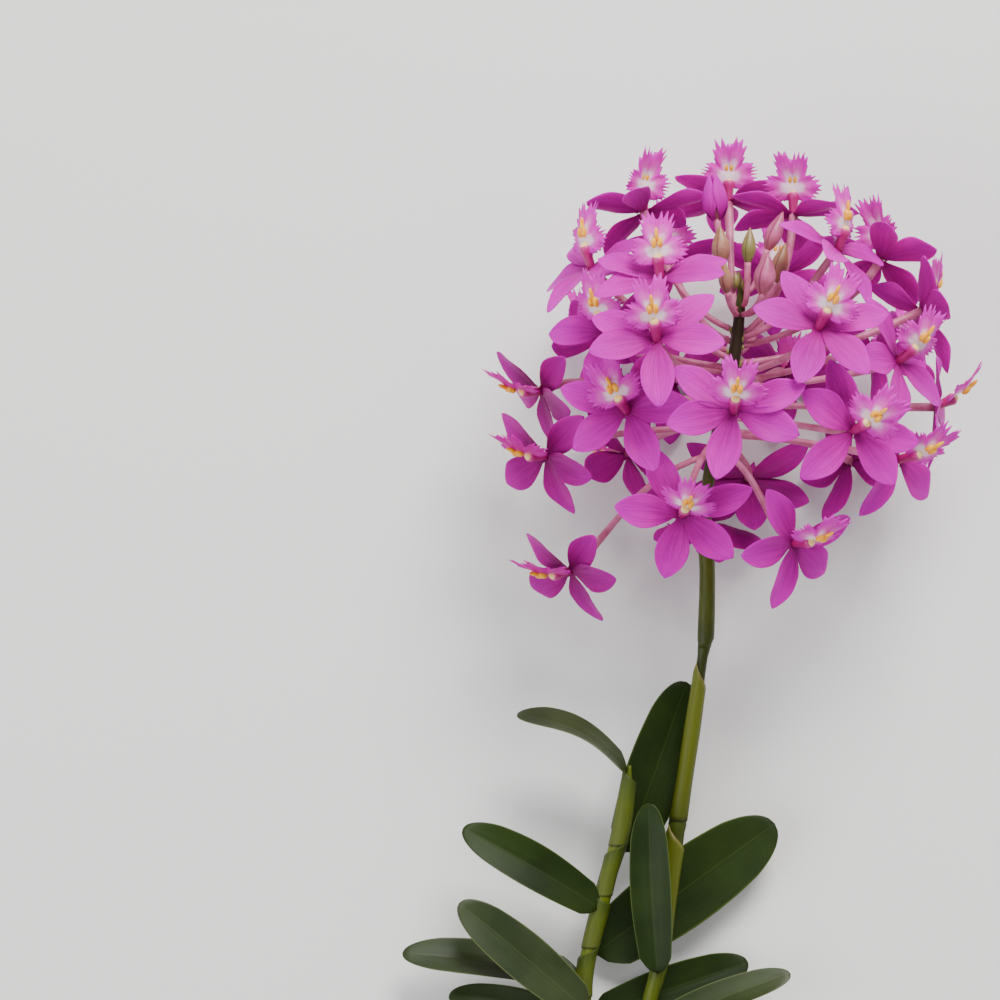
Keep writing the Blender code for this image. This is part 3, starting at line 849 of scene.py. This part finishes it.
def sheath(rows, low, high, room, facing, drop, material):
    """A sheath rolled round a stem from low to high, whose rim rises to a point on the facing side."""
    bpy.ops.object.select_all(action="DESELECT")
    bpy.ops.mesh.primitive_grid_add(x_subdivisions=40, y_subdivisions=24, size=2.0)
    obj = bpy.context.object
    obj.name = "sheath"
    bpy.ops.object.shade_smooth()
    points = np.empty(len(obj.data.vertices) * 3)
    obj.data.vertices.foreach_get("co", points)
    u, v = points.reshape(-1, 3)[:, 0], (points.reshape(-1, 3)[:, 1] + 1) / 2
    mark(obj, (u + 1) / 2, v)
    y = low + (high - drop * np.abs(u) ** 0.8 - low) * v
    x, z, radius = (np.interp(y, rows[:, 1], rows[:, k]) for k in (0, 2, 3))
    radius = radius + room + SHEATH_LAP * u + SHEATH_FLARE * v**8
    angle = math.radians(facing) + u * math.pi * SHEATH_WRAP
    reshape(obj, laid(np.stack([x + radius * np.sin(angle), y, z + radius * np.cos(angle)], axis=1)))
    wall = obj.modifiers.new("wall", "SOLIDIFY")
    wall.thickness = SHEATH_WALL * MM
    wall.offset = 0.0
    bpy.ops.object.modifier_apply(modifier="wall")
    obj.data.materials.append(material)
    return obj


def stem_paint(name, stops, streak):
    """Green that changes along the stem, in fine streaks. Each stop is a place along it, 0 to 1."""
    material, tree, shader = new_material(name)
    place = own_place(tree)
    height = {"Value": part_of(tree, place, "Y"), 1: STEM_FROM, 2: STEM_TO}
    reach = node(tree, "ShaderNodeMapRange", height).outputs["Result"]
    grain = streaks_of(tree, place, (1.0, 0.06, 1.0), 900.0)
    skin = shaded(tree, ramp(tree, reach, stops), 0.9, grain, streak)
    finished(tree, shader, skin, 0.42, gloss=0.25)
    bumped(tree, shader, grain, 0.2)
    return material


cane_skin = stem_paint(
    "cane_skin",
    (
        (0.0, (0.095, 0.125, 0.002)),
        (0.34, (0.042, 0.056, 0.002)),
        (0.54, (0.024, 0.034, 0.001)),
        (0.60, (0.050, 0.060, 0.002)),
        (0.72, (0.060, 0.070, 0.002)),
        (0.80, (0.026, 0.024, 0.008)),
        (0.95, (0.030, 0.020, 0.010)),
        (1.0, (0.09, 0.11, 0.015)),
    ),
    (0.7, 0.72, 0.6),
)


# Sheath skin: a paler yellower green than the stem, ribbed along, with a dark line at its foot.
def sheath_paint(name, stops, ribs, shade, roughness):
    material, tree, shader = new_material(name)
    uv = own_map(tree)
    grain = streaks_of(tree, uv, (ribs, 1.5, 1.0))
    skin = shaded(tree, ramp(tree, part_of(tree, uv, "Y"), stops), 0.9, grain, shade)
    finished(tree, shader, skin, roughness, gloss=0.25)
    bumped(tree, shader, grain, 0.25)
    return material


sheath_skin = sheath_paint(
    "sheath_skin",
    (
        (0.0, (0.05, 0.055, 0.012)),
        (0.02, (0.058, 0.070, 0.001)),
        (0.5, (0.084, 0.098, 0.002)),
        (0.95, (0.100, 0.118, 0.006)),
        (1.0, (0.16, 0.14, 0.04)),
    ),
    50.0,
    (0.74, 0.76, 0.66),
    0.45,
)

cane_rows = smoothed(CANE, SPAN_POINTS)
radii = cane_rows[:, 3] - CANE_INSET
radii = radii + sum(
    JOINT_SWELLING * np.exp(-(((cane_rows[:, 1] - y) / JOINT_LENGTH) ** 2)) for y in CANE_JOINTS
)
pieces = [stalk("cane", cane_rows[:, :3], radii, cane_skin, resolution=6)]
for low, high, room, facing, drop, skin in (
    (-80.5, -47.0, 0.12, 30, 9.0, cane_skin),
    (-129.0, -84.5, 0.10, -50, 10.0, sheath_skin),
    (-169.0, -130.0, 0.12, -60, 9.0, sheath_skin),
):
    pieces.append(sheath(cane_rows, low, high, room, facing, drop, skin))
draw = random.Random(7)
for rank, number in enumerate(from_below):
    axis, radius = pedicel_root(rank)
    way = Vector(BLOOMS[number][:3]) - axis
    out = Vector((way.x, 0, way.z)).normalized()
    foot = axis + out * (radius - BRACT_SINK) - Vector((0, BRACT_DROP, 0))
    tip = foot + out * BRACT_LEAN + Vector((0, draw.uniform(2.4, 3.2), 0))
    pieces.append(add_bud(foot, tip, BRACT_WIDTH, bud_green))
for foot, tip, width in YOUNGEST:
    pieces.append(add_bud(Vector(foot), Vector(tip), width, bud_green))
cane = joined("orchid_flowering_cane", pieces)
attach(cane, "root")
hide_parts("flowering_cane")


# The leafy shoot: a softer yellow-green cane that leaves the flowering one near its foot and runs up
# beside it in a slight zigzag. It is wrapped from joint to joint in the dull green sheaths of its leaves.
SHOOT = (
    (-32.3, -200.2, 0.4, 2.0),
    (-38.0, -195.0, 1.4, 2.3),
    (-42.6, -186.0, 1.5, 2.45),
    (-43.4, -176.0, 1.0, 2.5),
    (-42.0, -167.0, 0.0, 2.3),
    (-39.2, -156.0, -0.5, 2.55),
    (-36.4, -145.0, -0.5, 2.3),
    (-33.2, -134.0, -0.5, 2.5),
    (-31.2, -122.0, -0.5, 2.2),
    (-30.2, -113.5, -0.5, 1.3),
)
SHOOT_INSET = 0.1
SHOOT_TAPER = ((-121, 1.0), (-113.5, 0.35))
HUSK_ROOM = 0.08
HUSK_DROP = 5.0
# the sheaths of its leaves: lower and upper end, and the side on which the rim rises
HUSKS = (
    (-192.0, -177.0, -80),
    (-178.0, -163.0, 90),
    (-164.5, -149.0, -70),
    (-150.0, -134.0, 80),
    (-136.0, -114.5, -60),
)

shoot_skin = stem_paint(
    "shoot_skin",
    ((0.0, (0.09, 0.120, 0.002)), (0.3, (0.11, 0.140, 0.002)), (0.5, (0.05, 0.072, 0.002))),
    (0.72, 0.75, 0.62),
)
husk_skin = sheath_paint(
    "husk_skin",
    (
        (0.0, (0.05, 0.055, 0.016)),
        (0.03, (0.085, 0.104, 0.012)),
        (0.6, (0.075, 0.098, 0.004)),
        (1.0, (0.040, 0.060, 0.004)),
    ),
    44.0,
    (0.7, 0.74, 0.66),
    0.5,
)

shoot_rows = smoothed(SHOOT, SPAN_POINTS)
radii = (shoot_rows[:, 3] - SHOOT_INSET) * np.interp(shoot_rows[:, 1], *np.array(SHOOT_TAPER).T)
pieces = [stalk("shoot", shoot_rows[:, :3], radii, shoot_skin, resolution=6)]
for low, high, facing in HUSKS:
    pieces.append(sheath(shoot_rows, low, high, HUSK_ROOM, facing, HUSK_DROP, husk_skin))
shoot = joined("orchid_leafy_shoot", pieces)
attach(shoot, "root")
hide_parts("leafy_shoot")


# The leaves: thick, leathery blades with blunt round tips, dark green, folded a little along the midrib
# and
# bordered by a thin pale rim. The leaves that catch a grey sheen get a paler, greyer copy of the skin:
# painted sheen. Each clasps its stem at the root, and is a sphere drawn out flat and bent.
LEAF_THICKNESS = 1.0
LEAF_BASE = 0.66  # width at the root, as a share
LEAF_ROUNDNESS = 2.6  # how blunt the tip is
LEAF_FOLD = 1.6  # how far the edges rise
LEAF_KEEL = 1.4  # how much more they rise at the root
LEAF_GROOVE = 0.30  # depth of the groove over the midrib
LEAF_WAVE = 0.35  # height of the waves along the edges
LEAF_CLASP = 1.5  # how far the root reaches into its stem
# the leaves that take the dark skin; the others take the copy with the painted sheen
DARK_LEAVES = (2, 3, 7, 8, 9)
# root, tip, width, the way the upper side looks, and how high the blade arches
LEAVES = (
    ((-32.4, -115.0, 0.0), (-62.0, -99.0, 6.0), 11.5, (0.25, 1.0, 0.55), 4.5),
    ((-31.0, -137.0, -5.4), (-14.0, -90.5, -9.0), 17.5, (0.2, 0.0, 1.0), 1.5),
    ((-40.2, -152.5, 1.6), (-77.0, -130.6, 6.0), 13.0, (-0.1, 0.45, 0.9), 2.0),
    ((-43.6, -180.5, 4.4), (-78.0, -151.0, 9.0), 13.5, (-0.1, 0.35, 0.95), 2.0),
    ((-45.7, -172.5, 0.2), (-94.0, -166.0, 1.0), 12.0, (0.0, 0.6, 0.8), 2.0),
    ((-45.4, -186.5, 0.8), (-81.0, -178.0, -1.0), 11.5, (0.0, 0.5, 0.85), 2.0),
    ((-22.6, -170.0, 3.1), (-25.2, -123.5, 6.0), 12.0, (-0.3, 0.0, 1.0), 1.5),
    ((-38.8, -166.0, -5.4), (11.0, -130.5, -8.5), 21.0, (0.1, 0.15, 1.0), 1.5),
    ((-39.0, -184.0, -5.8), (3.4, -169.5, -7.0), 13.0, (0.0, 0.2, 1.0), 1.5),
    ((-23.4, -187.0, 0.4), (14.6, -171.5, 2.5), 10.0, (0.1, 0.6, 0.75), 1.5),
)

leaf_form, leaf_points = ball("leaf_form", 40, 48)
leaf_t, leaf_around = along_and_around(leaf_points)
leaf_t = 1 - (1 - leaf_t) ** 1.25
leaf_side, leaf_over = np.cos(leaf_around), np.sin(leaf_around)
leaf_share = np.minimum(
    LEAF_BASE + (1 - LEAF_BASE) * np.sin(math.pi * leaf_t),
    np.sqrt(np.clip(1 - np.clip(2 * leaf_t - 1, 0, 1) ** LEAF_ROUNDNESS, 0, 1)),
)
leaf_share = leaf_share * np.clip(leaf_t / 0.10, 0, 1) ** 0.45
mark(leaf_form, leaf_side * 0.5 + 0.5, leaf_t)


def leaf_paint(name, dark, pale, rim, gloss):
    material, tree, shader = new_material(name)
    uv = own_map(tree)
    skin = ramp(tree, clouds_of(tree, 55.0, 5.0), ((0.36, dark), (0.66, pale)))
    ribs = streaks_of(tree, uv, (60.0, 1.2, 1.0))
    skin = shaded(tree, skin, 0.8, ribs, (0.78, 0.80, 0.76))
    across = {0: part_of(tree, uv, "X"), 1: 0.5}
    side = node(tree, "ShaderNodeMath", across, operation="SUBTRACT").outputs[0]
    off = node(tree, "ShaderNodeMath", {0: side}, operation="ABSOLUTE").outputs[0]
    border = ramp(
        tree,
        off,
        (
            (0.0, (0.25, 0.25, 0.25)),
            (0.012, (0.0, 0.0, 0.0)),
            (0.470, (0.0, 0.0, 0.0)),
            (0.5, (0.9, 0.9, 0.9)),
        ),
    )
    finished(tree, shader, mixed(tree, border, skin, rim), 0.42, gloss=gloss)
    bumped(tree, shader, ribs, 0.18)
    return material


leaf_dark = leaf_paint(
    "leaf_dark", (0.008, 0.019, 0.001), (0.017, 0.034, 0.003), (0.08, 0.12, 0.02), 0.16
)
# a paler, greyer copy of the leaf skin, with a little more gloss, for the leaves that catch a grey sheen:
# painted sheen
leaf_painted_sheen = leaf_paint(
    "leaf_painted_sheen", (0.016, 0.029, 0.005), (0.034, 0.050, 0.014), (0.13, 0.16, 0.05), 0.3
)
for number, (root, tip, width, looks, arch) in enumerate(LEAVES):
    draw = random.Random(70 + number)
    root, tip = Vector(root), Vector(tip)
    root = root - (tip - root).normalized() * LEAF_CLASP
    along = tip - root
    across = Vector(looks).cross(along).normalized()
    over = along.cross(across).normalized()
    side = leaf_side * leaf_share
    fold = LEAF_FOLD * side**2 + LEAF_KEEL * np.abs(side) * np.exp(-leaf_t / 0.15)
    groove = -LEAF_GROOVE * np.exp(-((side / 0.07) ** 2)) * np.sin(math.pi * np.clip(leaf_t, 0, 1))
    wave = LEAF_WAVE * np.sin(6.0 * leaf_t + draw.uniform(0, 6)) * side
    lift = arch * np.sin(math.pi * leaf_t) + fold + groove + wave
    lift = lift + leaf_over * LEAF_THICKNESS / 2 * np.minimum(1.0, 2.5 * leaf_share)
    points = np.array(root) + np.outer(leaf_t, along)
    points = points + np.outer(side * width / 2, across) + np.outer(lift, over)
    # the leaves outside DARK_LEAVES get the painted sheen
    skin = leaf_dark if number + 1 in DARK_LEAVES else leaf_painted_sheen
    leaf = copy_of(leaf_form, f"orchid_leaf_{number + 1:02d}", skin)
    reshape(leaf, laid(points, clearance(leaf_over, LEAF_THICKNESS, over)))
    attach(leaf, "root")
    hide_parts(f"leaf_{number + 1:02d}")

# the unit forms, of which every piece above has its own bent copies, have done their work
for form in (tepal_form, lip_form, column_form, knob_form, bud_form, leaf_form):
    bpy.data.objects.remove(form)
